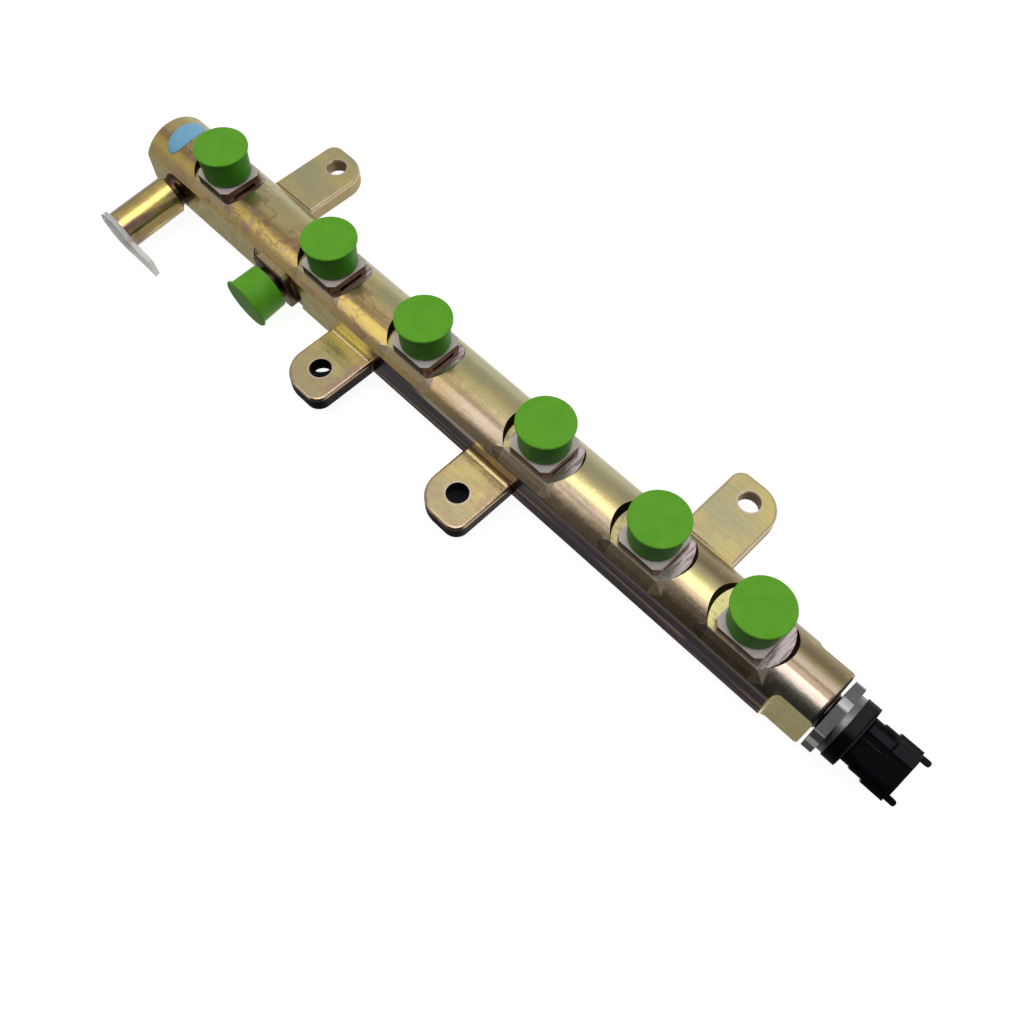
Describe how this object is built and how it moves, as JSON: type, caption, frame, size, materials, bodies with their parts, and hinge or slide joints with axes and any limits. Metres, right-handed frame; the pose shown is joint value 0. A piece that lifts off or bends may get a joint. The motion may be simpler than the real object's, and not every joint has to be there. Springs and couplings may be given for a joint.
{
  "type": "fuel rail",
  "caption": "High-pressure diesel fuel rail with capped outlets in line, a side inlet, a relief valve stub, mounting ears and a pressure sensor on one end.",
  "frame": {"origin": "midway between the two near ear holes, on the underside of the ears", "axes": "+X along the bar from the blind end to the sensor end, +Z the way the outlets point, -Y the side with the inlet and the relief valve"},
  "size_m": [0.4277, 0.1101, 0.0503],
  "materials": {
    "bar": "glossy yellow chromate over zinc",
    "fitting": "glossy chromate with a pink tint",
    "cap": "soft green polyethylene",
    "relief_valve": "bright gold chromate",
    "inner_steel": "plain ground steel",
    "plug": "translucent polyethylene",
    "sensor_steel": "satin turned steel",
    "board": "circuit board laminate",
    "connector": "black moulded plastic",
    "contact": "plated contact"
  },
  "bodies": {
    "root": {"rail_body": "bar", "outlet_fitting_1": "fitting", "outlet_cap_1": "cap", "outlet_fitting_2": "fitting", "outlet_cap_2": "cap", "outlet_fitting_3": "fitting", "outlet_cap_3": "cap", "outlet_fitting_4": "fitting", "outlet_cap_4": "cap", "outlet_fitting_5": "fitting", "outlet_cap_5": "cap", "outlet_fitting_6": "fitting", "outlet_cap_6": "cap", "inlet_fitting": "fitting", "inlet_cap": "cap", "relief_body": "relief_valve", "relief_poppet": "inner_steel", "relief_spring": "inner_steel", "relief_sleeve": "inner_steel", "relief_plug": "plug", "sensor_body": "sensor_steel", "sensor_cell": "inner_steel", "sensor_board": "board", "sensor_housing": "connector", "sensor_pin_1": "contact", "sensor_pin_2": "contact", "sensor_pin_3": "contact"}
  },
  "joints": []
}
